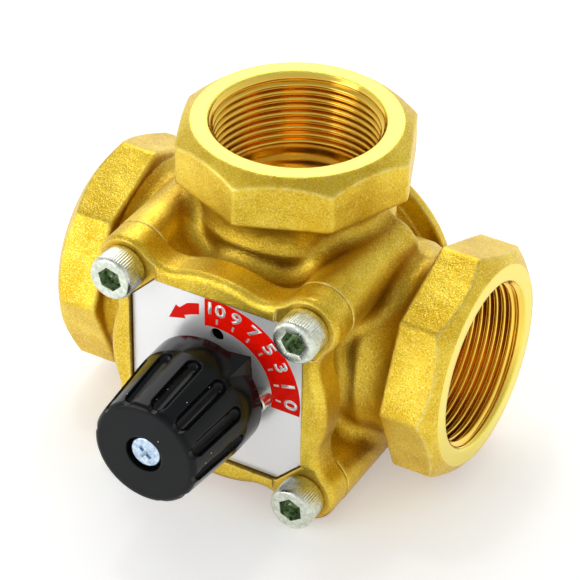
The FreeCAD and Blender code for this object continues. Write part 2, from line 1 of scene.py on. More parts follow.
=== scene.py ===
import json
from math import acos, asin, cos, degrees, pi, radians, sin

import bmesh
import bpy
from mathutils import Euler, Matrix, Vector


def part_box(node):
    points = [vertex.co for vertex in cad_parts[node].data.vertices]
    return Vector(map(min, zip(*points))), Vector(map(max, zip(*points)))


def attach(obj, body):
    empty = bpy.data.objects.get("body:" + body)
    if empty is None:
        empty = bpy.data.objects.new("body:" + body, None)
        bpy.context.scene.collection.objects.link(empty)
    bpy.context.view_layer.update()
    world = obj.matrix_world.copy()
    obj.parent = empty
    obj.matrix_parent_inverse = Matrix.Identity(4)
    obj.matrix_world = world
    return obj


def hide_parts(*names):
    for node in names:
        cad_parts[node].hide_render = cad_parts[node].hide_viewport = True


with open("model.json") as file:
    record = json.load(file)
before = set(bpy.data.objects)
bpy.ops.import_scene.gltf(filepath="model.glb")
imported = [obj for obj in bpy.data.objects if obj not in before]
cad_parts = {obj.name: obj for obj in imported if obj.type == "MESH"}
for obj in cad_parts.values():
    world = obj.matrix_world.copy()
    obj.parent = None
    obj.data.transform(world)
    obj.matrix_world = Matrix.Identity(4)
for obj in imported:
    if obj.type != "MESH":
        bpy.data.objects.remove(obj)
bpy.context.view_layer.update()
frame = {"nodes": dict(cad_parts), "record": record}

MM = 0.001

# ---- camera ---------------------------------------------------------------
CAMERA_AZIMUTH = 28.97          # degrees round from the front, towards +X
CAMERA_ELEVATION = 35.72
CAMERA_ROLL = 0.97
CAMERA_DISTANCE = 783.0 * MM
CAMERA_ANGLE = 11.84            # width of the view, degrees
LOOK_BESIDE = Vector((-1.7, 0.52, 2.35)) * MM     # from the crossing of the port axes

# ---- port threads (G 1 1/2) -----------------------------------------------
THREAD_PITCH = 2.309 * MM
THREAD_HEIGHT = 1.42 * MM
THREAD_LIFT = 0.03 * MM         # root of the thread above the plain wall
THREAD_LEAD = 1.9 * MM          # length of the chamfer over the first crests
THREAD_SLOPE = 1.28             # steepness of the flanks, as a share of the height
THREAD_ROOT = 0.14              # how much of that is cut off at the root
THREAD_STEPS = 240              # round one turn
THREAD_ROWS = 10                # along one pitch

# ---- socket-head screws ---------------------------------------------------
HEAD_R = 6.5 * MM
HEAD_HEIGHT = 8.0 * MM
SHANK_R = 4.0 * MM
SHANK_BEVEL = 0.7 * MM, 0.9 * MM        # across and along the screw
HEAD_FOOT = 0.3 * MM, 0.4 * MM
KNURL_ENDS = 1.15 * MM, 0.7 * MM        # from the top and from the foot of the head
# across from the knurls' root and down from the top
HEAD_ROUND = ((0.0, 0.75 * MM), (0.22 * MM, 0.3 * MM), (0.75 * MM, 0.04 * MM), (1.1 * MM, 0.0))
HEX_ACROSS = 6.0 * MM
HEX_DEPTH = 4.0 * MM
HEX_MOUTH = 0.75 * MM
HEX_BEVEL = (0.35 * MM, 0.12 * MM), (0.0, 0.5 * MM)
DRILL_POINT = (0.42 * HEX_ACROSS, 0.9 * MM), (0.05 * MM, 1.2 * MM)
SCREW_TURN = 15, 17             # degrees of the first socket, and from one to the next
SHARP_OVER = 38.0               # degrees
KNURLS = 56
KNURL_DEPTH = 0.22 * MM
KNURL_STEPS = 6

# ---- printed scale --------------------------------------------------------
PRINT_THICKNESS = 0.03 * MM
SECTOR_OUTER = 25.7 * MM
SECTOR_INNER = 17.0 * MM
SECTOR_LEFT = -3.8 * MM
SECTOR_BOTTOM = -2.9 * MM
TICK_INNER = 18.2 * MM
TICK_OUTER = 19.8 * MM
TICK_WIDTH = 0.6 * MM
FIGURES = ("10", "9", "7", "5", "3", "1", "0")
FIGURE_STEP = 15.0              # degrees
FIGURE_R = 22.8 * MM
FIGURE_HEIGHT = 4.1 * MM
FIGURE_STRETCH = 1.2            # wider than the plain letter form
FIGURE_WEIGHT = 0.028           # how far the strokes are thickened
FIGURE_CURVES = 6               # points along a curved stroke
WELD = 0.001 * MM
ARROW_OUTER = 23.7 * MM
ARROW_INNER = 20.2 * MM
ARROW_TAIL = -5.5 * MM
ARROW_BEND = 113.0              # degrees round the scale, where the shaft grows thin
ARROW_NECK = 120.0              # where the head begins
ARROW_STEPS = 12
# neck, barb, tip and barb of the head, in mm from the spindle
ARROW_HEAD = ((-11.6, 19.6), (-12.75, 20.1), (-14.95, 15.2), (-9.7, 16.6))

# ---- light ----------------------------------------------------------------
WALL_LIGHT = 1.0
CEILING_LIGHT = 0.38
FLOOR_LIFT = 0.33               # light that only the background shows
FLOOR_HALF = 3.0
# name, direction from the valve, distance, size in metres, radiance
LIGHTS = (
    ("window", (-0.38, 0.63, 0.74), 1.3, (1.0, 1.0), 1.7),
    ("front_card", (-0.55, -0.76, 0.34), 1.2, (0.7, 0.7), 2.05),
    ("spark", (-0.25, 0.15, 0.95), 1.4, (0.16, 0.16), 16.0),
)

# ---- colours (linear) -----------------------------------------------------
CAST_LIGHT = (0.89, 0.655, 0.06)
CAST_DARK = (0.70, 0.455, 0.02)
# painted shade for hollows, and also the colour of the grain's pits
CAST_SHADE_AND_PIT = (0.34, 0.155, 0.002)
# light grain specks with painted glint, and worn edges with painted highlight
CAST_SPECK_WEAR_AND_HIGHLIGHT = (0.97, 0.84, 0.30)
TURNED_BRASS = (0.93, 0.78, 0.135)
CUT_BRASS = (0.95, 0.60, 0.07)
CUT_BRASS_DARK = (0.86, 0.55, 0.08)
# painted highlight on the thread's crests and painted shade in its grooves
THREAD_CREST_HIGHLIGHT = (0.98, 0.68, 0.11)
THREAD_GROOVE_SHADE = (0.66, 0.31, 0.010)
# painted shade inside the spare pin hole
HOLE_PAINTED_SHADE = (0.02, 0.014, 0.004)
ZINC = (0.84, 0.88, 0.78), (0.56, 0.61, 0.50)
BLUE_ZINC = (0.76, 0.87, 0.97), (0.36, 0.51, 0.70)
STEM_STEEL = (0.75, 0.75, 0.74), (0.62, 0.62, 0.61)
SOCKET_GREEN = (0.06, 0.13, 0.035), (0.68, 0.80, 0.58)
FOIL = (0.95, 0.955, 0.96), (0.98, 0.98, 0.98)
RED_PRINT = (0.97, 0.010, 0.002), (0.92, 0.006, 0.001)
BLACK_PLASTIC = (0.0024, 0.0029, 0.0036), (0.0052, 0.0062, 0.0078)
DUST = (0.55, 0.55, 0.53)
RUBBER = (0.03, 0.03, 0.03), (0.015, 0.015, 0.015)
WHITE_POLYMER = (0.86, 0.85, 0.82), (0.78, 0.77, 0.74)
PAPER = (0.91, 0.91, 0.905), (0.94, 0.94, 0.935)

# ---- surfaces -------------------------------------------------------------
BODY_EDGE = 1.5 * MM            # rounding of the cast edges
COVER_EDGE = 0.8 * MM
BODY_SHINE = 1.0                # how bright the turned parts are
COVER_SHINE = 0.3
PAINTED_SHADE_REACH = 11.0 * MM        # how near other walls must stand for painted shade in a hollow
REAR_OPEN = 20.0 * MM, 8.0 * MM     # behind the axes, where that painted shade fades out
CLOUD_RANGE = 0.3, 0.7          # where nearly all values of a noise lie
BLOTCHES = 70.0                 # noise scales, per metre
DENTS = 210.0
BURRS = 480.0
GRAIN = 2300.0
LATHE_MARKS = 2600.0
PAPER_TONE = 30.0
METAL_TONE = 900.0
METAL_SHINE = 260.0
METAL_MARKS = 3200.0
PLAIN_SCALE = 500.0
PLASTIC_TONE = 120.0
PLASTIC_SHINE = 500.0
PLASTIC_MARKS = 420.0
DUST_CELLS = 330.0
DUST_SIZE = 0.06                # as a share of a cell
DUST_PATCHES = 95.0
SOCKET_TONE = 650.0
BRUSHING = (60.0, 60.0, 2600.0)
PAINTED_SHADE_STRENGTH = 0.95          # how far painted shade in hollows, pits, specks with painted glint and worn edges with painted highlight take their own colours
PIT_STRENGTH = 0.45             # take their own colours
SPECK_AND_GLINT_STRENGTH = 0.62
WEAR_AND_HIGHLIGHT_STRENGTH = 0.85
SHADE_SPECK_LOSS = 0.75                  # how much of its specks the painted shade takes away
TURNED_ROUGH = 0.22
GRAIN_HEIGHT = 0.8              # shares of the cast skin's relief
DENT_HEIGHT = 2.0
MARK_HEIGHT = 0.12
SKIN_RELIEF = 0.2 * MM
BORE_START = 26.0 * MM          # from the valve's centre: past this a port is turned
BORE_MARGIN = 0.6 * MM          # beyond the thread's wall
FACE_MARGIN = 0.08 * MM
SPOT_FACE_R = 9.75 * MM
SPOT_MARGIN = 0.04 * MM
SPARE_HOLE_Z = 14.8 * MM
SPARE_HOLE_R = 2.4 * MM


# ---- places taken from the frame ------------------------------------------
def mount(name):
    """The record's entry of a mount."""
    for entry in frame["record"]["mounts"]:
        if entry["name"] == name:
            return entry


PORT_AXES = Vector(mount("top_port")["pos_m"])      # where the port axes cross
PORT_AXES.z = mount("right_port")["pos_m"][2]
PLATE_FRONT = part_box("scale_plate")[0][1]
SIDE_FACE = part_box("valve_body")[1][0]
THREAD_WALL_R = mount("top_port")["dims"]["r_mm"] * MM


def at_front(x, z, lift):
    """A point in front of the scale plate, from the spindle axis."""
    return Vector((PORT_AXES.x + x, PLATE_FRONT - lift, PORT_AXES.z + z))


# ---- making objects -------------------------------------------------------
def new_object(name, mesh, material, body):
    """A piece of the scene that moves with a body."""
    piece = bpy.data.objects.new(name, mesh)
    bpy.context.scene.collection.objects.link(piece)
    mesh.materials.append(material)
    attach(piece, body)
    return piece


def mesh_from(name, verts, faces, smooth=True):
    """A checked mesh with all its faces smooth or all flat."""
    mesh = bpy.data.meshes.new(name)
    mesh.from_pydata([tuple(v) for v in verts], [], faces)
    mesh.polygons.foreach_set("use_smooth", [smooth] * len(mesh.polygons))
    mesh.validate()
    mesh.update()
    return mesh


def loft(rings, closed=False):
    """Faces that join rings of equal count; closed adds a face over each end."""
    count = len(rings[0])
    verts = [v for ring in rings for v in ring]
    faces = []
    for start in range(0, len(verts) - count, count):
        for i in range(count):
            j = (i + 1) % count
            faces.append((start + i, start + j, start + count + j, start + count + i))
    if closed:
        last = len(verts) - count
        faces += [tuple(reversed(range(count))), tuple(range(last, last + count))]
    return verts, faces


def face_outwards(mesh):
    """Turn the faces of a closed mesh outwards."""
    work = bmesh.new()
    work.from_mesh(mesh)
    bmesh.ops.recalc_face_normals(work, faces=work.faces)
    work.to_mesh(mesh)
    work.free()


def sharp_by_angle(mesh, limit):
    """Smooth shading that keeps the edges sharper than a limit in degrees."""
    work = bmesh.new()
    work.from_mesh(mesh)
    for edge in work.edges:
        edge.smooth = len(edge.link_faces) == 2 and edge.calc_face_angle(0.0) < radians(limit)
    for face in work.faces:
        face.smooth = True
    work.to_mesh(mesh)
    work.free()


# ---- shader helpers -------------------------------------------------------
class Nodes:
    """A short way to write a material's node tree."""

    def __init__(self, name):
        self.material = bpy.data.materials.new(name)
        self.material.use_nodes = True
        self.tree = self.material.node_tree
        self.tree.nodes.clear()
        self.output = self.add("ShaderNodeOutputMaterial")
        self.shader = self.add("ShaderNodeBsdfPrincipled")
        self.join(self.shader.outputs["BSDF"], self.output.inputs["Surface"])
        self.place = self.add("ShaderNodeTexCoord").outputs["Object"]

    def add(self, kind, **settings):
        node = self.tree.nodes.new(kind)
        for key, value in settings.items():
            setattr(node, key, value)
        return node

    def join(self, source, target):
        self.tree.links.new(source, target)

    def feed(self, socket, value):
        """Join another node's output, or set a plain value."""
        if isinstance(value, bpy.types.NodeSocket):
            self.join(value, socket)
        else:
            socket.default_value = value

    def maths(self, operation, first, second=0.0):
        node = self.add("ShaderNodeMath", operation=operation)
        self.feed(node.inputs[0], first)
        self.feed(node.inputs[1], second)
        return node.outputs[0]

    def noise(self, scale, detail, roughness=0.5, place=None):
        """Cloudy values round 0.5."""
        node = self.add("ShaderNodeTexNoise")
        self.join(place or self.place, node.inputs["Vector"])
        node.inputs["Scale"].default_value = scale
        node.inputs["Detail"].default_value = detail
        node.inputs["Roughness"].default_value = roughness
        return node.outputs["Fac"]

    def cells(self, scale):
        """Distance to the middle of the nearest cell."""
        node = self.add("ShaderNodeTexVoronoi")
        self.join(self.place, node.inputs["Vector"])
        node.inputs["Scale"].default_value = scale
        return node.outputs["Distance"]

    def spread(self, value, low, high, to_low=0.0, to_high=1.0):
        """The range from low to high stretched over another, and kept in it."""
        node = self.add("ShaderNodeMapRange")
        self.feed(node.inputs["Value"], value)
        node.inputs["From Min"].default_value = low
        node.inputs["From Max"].default_value = high
        node.inputs["To Min"].default_value = to_low
        node.inputs["To Max"].default_value = to_high
        return node.outputs["Result"]

    def cloud(self, scale, detail, to_low=0.0, to_high=1.0):
        """Noise that is spread between two values."""
        return self.spread(self.noise(scale, detail), *CLOUD_RANGE, to_low, to_high)

    def blend(self, factor, first, second):
        """A colour between two colours."""
        node = self.add("ShaderNodeMix", data_type="RGBA")
        self.feed(node.inputs["Factor"], factor)
        for name, value in (("A", first), ("B", second)):
            socket = [s for s in node.inputs if s.name == name and s.type == "RGBA"][0]
            self.feed(socket, value if isinstance(value, bpy.types.NodeSocket) else (*value, 1.0))
        return [s for s in node.outputs if s.type == "RGBA"][0]

    def between(self, factor, first, second):
        """A number between two numbers."""
        node = self.add("ShaderNodeMix", data_type="FLOAT")
        self.feed(node.inputs["Factor"], factor)
        self.feed(node.inputs["A"], first)
        self.feed(node.inputs["B"], second)
        return node.outputs["Result"]

    def bump(self, height, distance, strength, normal=None):
        """The normal of a surface raised by height."""
        node = self.add("ShaderNodeBump")
        self.feed(node.inputs["Height"], height)
        self.feed(node.inputs["Strength"], strength)
        node.inputs["Distance"].default_value = distance
        if normal is not None:
            self.join(normal, node.inputs["Normal"])
        return node.outputs["Normal"]

    def occlusion(self, distance):
        """1 in the open, less where other surfaces stand close by."""
        node = self.add("ShaderNodeAmbientOcclusion", samples=6)
        node.inputs["Distance"].default_value = distance
        return node.outputs["AO"]

    def rounded_edge_mask(self, rounded):
        """More than 0 where the rounded normal leaves the face's own."""
        own = self.add("ShaderNodeNewGeometry").outputs["True Normal"]
        dot = self.add("ShaderNodeVectorMath", operation="DOT_PRODUCT")
        self.join(rounded, dot.inputs[0])
        self.join(own, dot.inputs[1])
        return self.maths("SUBTRACT", 1.0, dot.outputs["Value"])

    def rings(self, radius, scale):
        """Fine lines that follow circles round an axis."""
        place = self.add("ShaderNodeCombineXYZ")
        self.join(radius, place.inputs["X"])
        return self.noise(scale, 2.0, place=place.outputs["Vector"])

    def rounded(self, radius):
        """The normal as it is with every edge rounded."""
        node = self.add("ShaderNodeBevel", samples=6)
        node.inputs["Radius"].default_value = radius
        return node.outputs["Normal"]

    def axes(self):
        """x, y and z of the surface point, from the crossing of the port axes."""
        shift = self.add("ShaderNodeVectorMath", operation="SUBTRACT")
        self.join(self.place, shift.inputs[0])
        shift.inputs[1].default_value = PORT_AXES
        split = self.add("ShaderNodeSeparateXYZ")
        self.join(shift.outputs["Vector"], split.inputs[0])
        return split.outputs["X"], split.outputs["Y"], split.outputs["Z"]

    def length(self, a, b):
        """Length of the line whose two parts are a and b."""
        squares = self.maths("ADD", self.maths("MULTIPLY", a, a), self.maths("MULTIPLY", b, b))
        return self.maths("SQRT", squares)

    def set(self, **values):
        """Give the shader its values, and hand out the material."""
        names = {"colour": "Base Color", "metal": "Metallic", "rough": "Roughness",
                 "normal": "Normal", "specular": "Specular IOR Level"}
        for key, value in values.items():
            self.feed(self.shader.inputs[names[key]], value)
        return self.material


# ---- materials ------------------------------------------------------------
def turned_ports(nodes):
    """How far the body is turned there, and the radius for its lathe marks."""
    x, y, z = nodes.axes()
    reach = SIDE_FACE - PORT_AXES.x
    side = nodes.maths("ABSOLUTE", x)
    masks = []
    radii = []
    for along, first, second in ((side, y, z), (z, x, y)):
        radius = nodes.length(first, second)
        face = nodes.maths("GREATER_THAN", along, reach - FACE_MARGIN)
        inside = nodes.maths("LESS_THAN", radius, THREAD_WALL_R + BORE_MARGIN)
        deep = nodes.maths("GREATER_THAN", along, BORE_START)
        masks.append(nodes.maths("MAXIMUM", face, nodes.maths("MULTIPLY", inside, deep)))
        radii.append(radius)
    radius = nodes.between(masks[0], radii[1], radii[0])
    return nodes.maths("MAXIMUM", masks[0], masks[1]), radius


def turned_cover(nodes):
    """The spot faces round the cover screws, and the distance to a screw."""
    low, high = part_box("cap_screw_top_right")
    centre = (Vector(low) + Vector(high)) / 2 - PORT_AXES
    x, y, z = nodes.axes()
    dx = nodes.maths("SUBTRACT", nodes.maths("ABSOLUTE", x), centre.x)
    dz = nodes.maths("SUBTRACT", nodes.maths("ABSOLUTE", z), centre.z)
    radius = nodes.length(dx, dz)
    near = nodes.maths("LESS_THAN", radius, SPOT_FACE_R)
    spot = low[1] + HEAD_HEIGHT - PORT_AXES.y
    offset = nodes.maths("ABSOLUTE", nodes.maths("SUBTRACT", y, spot))
    flat = nodes.maths("LESS_THAN", offset, SPOT_MARGIN)
    return nodes.maths("MULTIPLY", near, flat), radius


def cast_brass(name, turned_parts, edge, shine):
    """Blasted cast brass, turned to a shine where turned_parts says."""
    nodes = Nodes(name)
    turned, radius = turned_parts(nodes)
    turned = nodes.maths("MULTIPLY", turned, shine)
    rounded = nodes.rounded(edge)

    # blotches, then painted shade in hollows, and darker pits of the grain
    tone = nodes.spread(nodes.noise(BLOTCHES, 4.0, 0.6), 0.36, 0.64)
    colour = nodes.blend(tone, CAST_DARK, CAST_LIGHT)
    x, y, z = nodes.axes()
    painted_shade = nodes.maths("MULTIPLY", nodes.spread(nodes.occlusion(PAINTED_SHADE_REACH), 0.88, 0.42),
                         nodes.spread(y, *REAR_OPEN))
    colour = nodes.blend(nodes.maths("MULTIPLY", painted_shade, PAINTED_SHADE_STRENGTH), colour, CAST_SHADE_AND_PIT)
    grain = nodes.noise(GRAIN, 2.0, 0.6)
    pits = nodes.spread(grain, 0.46, 0.30)
    colour = nodes.blend(nodes.maths("MULTIPLY", pits, PIT_STRENGTH), colour, CAST_SHADE_AND_PIT)

    # light specks of the grain with painted glint, fewer in the painted shade, and worn edges with
    # painted highlight
    outside_painted_shade = nodes.maths("SUBTRACT", 1.0, nodes.maths("MULTIPLY", painted_shade, SHADE_SPECK_LOSS))
    # grain specks with painted glint, thinned where the painted shade lies
    speck_and_glint = nodes.maths("MULTIPLY", nodes.spread(grain, 0.54, 0.68), outside_painted_shade)
    ragged = nodes.spread(nodes.noise(BURRS, 3.0, 0.7), 0.35, 0.6)
    worn_and_highlight = nodes.maths("MULTIPLY", nodes.spread(nodes.rounded_edge_mask(rounded), 0.0, 0.06), ragged)
    bright = nodes.maths("MAXIMUM", nodes.maths("MULTIPLY", speck_and_glint, SPECK_AND_GLINT_STRENGTH),
                         nodes.maths("MULTIPLY", worn_and_highlight, WEAR_AND_HIGHLIGHT_STRENGTH))
    colour = nodes.blend(bright, colour, CAST_SPECK_WEAR_AND_HIGHLIGHT)

    # turned parts, and painted shade inside the spare pin hole of the cover
    inside = nodes.maths("LESS_THAN", radius, THREAD_WALL_R)
    smooth = nodes.blend(inside, TURNED_BRASS, CUT_BRASS)
    colour = nodes.blend(turned, colour, smooth)
    to_hole = nodes.length(x, nodes.maths("SUBTRACT", z, SPARE_HOLE_Z))
    hole_shade = nodes.maths("MULTIPLY", nodes.maths("LESS_THAN", to_hole, SPARE_HOLE_R),
                          nodes.maths("LESS_THAN", y, 0.0))
    colour = nodes.blend(hole_shade, colour, HOLE_PAINTED_SHADE)

    # shine and relief
    rough = nodes.between(turned, nodes.spread(grain, 0.35, 0.65, 0.46, 0.30), TURNED_ROUGH)
    dents = nodes.noise(DENTS, 2.0)
    skin = nodes.maths("ADD", nodes.maths("MULTIPLY", grain, GRAIN_HEIGHT),
                       nodes.maths("MULTIPLY", dents, DENT_HEIGHT))
    marks = nodes.maths("MULTIPLY", nodes.rings(radius, LATHE_MARKS), MARK_HEIGHT)
    height = nodes.between(turned, skin, marks)
    normal = nodes.bump(height, SKIN_RELIEF, 0.8, rounded)
    return nodes.set(colour=colour, metal=1.0, rough=rough, normal=normal)


def turned_metal(name, light, dark, rough):
    """Bare or plated metal with faint marks."""
    nodes = Nodes(name)
    tone = nodes.cloud(METAL_TONE, 2.0)
    colour = nodes.blend(tone, dark, light)
    shine = nodes.cloud(METAL_SHINE, 3.0, rough * 0.85, rough * 1.25)
    normal = nodes.bump(nodes.noise(METAL_MARKS, 2.0), 0.02 * MM, 0.4, nodes.rounded(0.15 * MM))
    return nodes.set(colour=colour, metal=1.0, rough=shine, normal=normal)


def cut_thread():
    """Cut brass with painted highlight on the crests and deep orange painted shade in the grooves."""
    nodes = Nodes("cut_thread")
    groove_shade = nodes.spread(nodes.occlusion(1.8 * MM), 0.85, 0.45)
    colour = nodes.blend(groove_shade, THREAD_CREST_HIGHLIGHT, THREAD_GROOVE_SHADE)
    rough = nodes.cloud(METAL_SHINE, 3.0, 0.10, 0.15)
    normal = nodes.bump(nodes.noise(METAL_MARKS, 2.0), 0.02 * MM, 0.4)
    return nodes.set(colour=colour, metal=1.0, rough=rough, normal=normal)


def black_plastic():
    """Moulded black plastic with a few specks of dust."""
    nodes = Nodes("black_plastic")
    tone = nodes.cloud(PLASTIC_TONE, 3.0)
    colour = nodes.blend(tone, *BLACK_PLASTIC)
    small = nodes.maths("LESS_THAN", nodes.cells(DUST_CELLS), DUST_SIZE)
    few = nodes.maths("GREATER_THAN", nodes.noise(DUST_PATCHES, 1.0), 0.5)
    dust = nodes.maths("MULTIPLY", small, few)
    colour = nodes.blend(dust, colour, DUST)
    rough = nodes.cloud(PLASTIC_SHINE, 3.0, 0.10, 0.17)
    normal = nodes.bump(nodes.noise(PLASTIC_MARKS, 2.0), 0.03 * MM, 0.5, nodes.rounded(0.5 * MM))
    return nodes.set(colour=colour, rough=rough, specular=0.19, normal=normal)


def plain_finish(name, light, dark, rough, specular=0.5):
    """Rubber, plastic or print of nearly one colour."""
    nodes = Nodes(name)
    tone = nodes.cloud(PLAIN_SCALE, 3.0)
    colour = nodes.blend(tone, dark, light)
    shine = nodes.cloud(PLAIN_SCALE * 2, 2.0, rough * 0.85, rough * 1.15)
    normal = nodes.bump(nodes.noise(PLAIN_SCALE * 3, 2.0), 0.02 * MM, 0.3)
    return nodes.set(colour=colour, rough=shine, specular=specular, normal=normal)


def socket_green():
    """Oily green passivation inside the screw sockets."""
    nodes = Nodes("socket_green")
    tone = nodes.spread(nodes.noise(SOCKET_TONE, 3.0), 0.35, 0.65)
    colour = nodes.blend(tone, *SOCKET_GREEN)
    rough = nodes.between(tone, 0.5, 0.2)
    normal = nodes.bump(nodes.noise(METAL_TONE, 2.0), 0.1 * MM, 0.8)
    return nodes.set(colour=colour, metal=0.9, rough=rough, normal=normal)


def plate_metal():
    """Satin silver foil, brushed from side to side."""
    nodes = Nodes("plate_metal")
    stretch = nodes.add("ShaderNodeMapping")
    nodes.join(nodes.place, stretch.inputs["Vector"])
    stretch.inputs["Scale"].default_value = BRUSHING
    brushed = nodes.noise(1.0, 3.0, 0.6, stretch.outputs["Vector"])
    tone = nodes.spread(brushed, *CLOUD_RANGE)
    colour = nodes.blend(tone, *FOIL)
    rough = nodes.spread(brushed, *CLOUD_RANGE, 0.28, 0.34)
    return nodes.set(colour=colour, metal=0.55, rough=rough)


# ---- threads in the ports -------------------------------------------------
def thread(port, material):
    """The ridges of the pipe thread on a port's plain wall."""
    entry = mount(port)
    wall = entry["dims"]["r_mm"] * MM - THREAD_LIFT
    depth = entry["dims"]["length_mm"] * MM
    rows = int(depth / THREAD_PITCH * THREAD_ROWS)
    rings = []
    for row in range(rows + 1):
        along = depth * row / rows
        ring = []
        for step in range(THREAD_STEPS):
            turn = step / THREAD_STEPS
            phase = (along / THREAD_PITCH - turn) % 1.0
            ridge = min(1.0, max(0.0, THREAD_SLOPE * abs(2 * phase - 1) - THREAD_ROOT))
            radius = wall - THREAD_HEIGHT * ridge
            lead = wall - THREAD_HEIGHT * along / THREAD_LEAD
            radius = max(radius, lead)
            ring.append(Vector((radius * cos(2 * pi * turn), radius * sin(2 * pi * turn), -along)))
        rings.append(ring)
    verts, faces = loft(rings)
    turn_to_axis = Vector((0, 0, 1)).rotation_difference(Vector(entry["axis"])).to_matrix()
    place = Vector(entry["pos_m"])
    verts = [turn_to_axis @ v + place for v in verts]
    mesh = mesh_from(port + "_thread", verts, faces)
    new_object(port + "_thread", mesh, material, "valve")


# ---- screws ---------------------------------------------------------------
def hexagon(angle, across):
    """Distance from the middle of a hexagon to its side at an angle."""
    local = (angle + pi / 6) % (pi / 3) - pi / 6
    return across / 2 / cos(local)


def knurled_screw(node, material, inside, turn):
    """Socket-head screw with a knurled side, a bevel and a hexagon socket."""
    low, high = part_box(node)
    place = Vector(((low[0] + high[0]) / 2, low[1], (low[2] + high[2]) / 2))
    length = high[1] - low[1]
    steps = KNURLS * KNURL_STEPS
    flank = HEAD_R - KNURL_DEPTH
    # radius, depth below the top, knurled, hexagonal
    profile = [
        (SHANK_R - SHANK_BEVEL[0], length, False, False),
        (SHANK_R, length - SHANK_BEVEL[1], False, False),
        (SHANK_R, HEAD_HEIGHT, False, False),
        (flank - HEAD_FOOT[0], HEAD_HEIGHT, False, False),
        (flank, HEAD_HEIGHT - HEAD_FOOT[1], False, False),
        (HEAD_R, HEAD_HEIGHT - KNURL_ENDS[1], True, False),
        (HEAD_R, KNURL_ENDS[0], True, False),
    ]
    profile += [(flank - across, down, False, False) for across, down in HEAD_ROUND]
    profile.append((HEX_ACROSS / 2 + HEX_MOUTH, 0.0, False, False))
    first_inside = len(profile) * steps
    profile += [(HEX_ACROSS + across, down, False, True) for across, down in HEX_BEVEL]
    profile.append((HEX_ACROSS, HEX_DEPTH, False, True))
    profile += [(radius, HEX_DEPTH + down, False, False) for radius, down in DRILL_POINT]
    last_inside = (len(profile) - 1) * steps
    rings = []
    for radius, depth, knurled, hexed in profile:
        ring = []
        for step in range(steps):
            angle = 2 * pi * step / steps
            if hexed:
                here = hexagon(angle - turn, radius)
            elif knurled:
                wave = abs(2 * ((step / KNURL_STEPS) % 1.0) - 1)
                here = radius - KNURL_DEPTH * wave
            else:
                here = radius
            ring.append(place + Vector((here * cos(angle), depth, here * sin(angle))))
        rings.append(ring)
    verts, faces = loft(rings, closed=True)
    name = node.replace("cap_screw", "knurled_screw")
    mesh = mesh_from(name, verts, faces)
    face_outwards(mesh)
    sharp_by_angle(mesh, SHARP_OVER)
    piece = new_object(name, mesh, material, "valve")
    mesh.materials.append(inside)
    for face in mesh.polygons[first_inside:last_inside]:
        face.material_index = 1
    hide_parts(node)


# ---- printed scale --------------------------------------------------------
def printed(name, outline, lift, material):
    """A thin layer of print from an outline of (x, z) points."""
    front = [at_front(x, z, lift + PRINT_THICKNESS) for x, z in outline]
    back = [at_front(x, z, lift) for x, z in outline]
    verts, faces = loft([back, front], closed=True)
    mesh = mesh_from(name, verts, faces, smooth=False)
    face_outwards(mesh)
    new_object(name, mesh, material, "valve")


def arc(radius, start, end, steps=40):
    """Points of an arc, in degrees from +X towards +Z."""
    points = []
    for k in range(steps + 1):
        angle = radians(start + (end - start) * k / steps)
        points.append((radius * cos(angle), radius * sin(angle)))
    return points


def degrees_at(radius, x=None, z=None):
    """The angle at which a circle crosses a level x or a level z."""
    return degrees(acos(x / radius)) if x is not None else degrees(asin(z / radius))


def red_sector(material):
    """The red part of a ring round the knob."""
    outer = arc(SECTOR_OUTER, degrees_at(SECTOR_OUTER, z=SECTOR_BOTTOM),
                degrees_at(SECTOR_OUTER, x=SECTOR_LEFT))
    inner = arc(SECTOR_INNER, degrees_at(SECTOR_INNER, x=SECTOR_LEFT),
                degrees_at(SECTOR_INNER, z=SECTOR_BOTTOM))
    printed("scale_sector", outer + inner, 0.0, material)


def ticks(material):
    """A mark on the red for each figure."""
    for k, text in enumerate(FIGURES):
        angle = radians(90 - FIGURE_STEP * k)
        out = Vector((cos(angle), sin(angle)))
        side = Vector((-sin(angle), cos(angle))) * TICK_WIDTH / 2
        corners = [out * TICK_INNER + side, out * TICK_INNER - side,
                   out * TICK_OUTER - side, out * TICK_OUTER + side]
        outline = [(c.x, c.y) for c in corners]
        printed("scale_tick_" + text, outline, PRINT_THICKNESS, material)


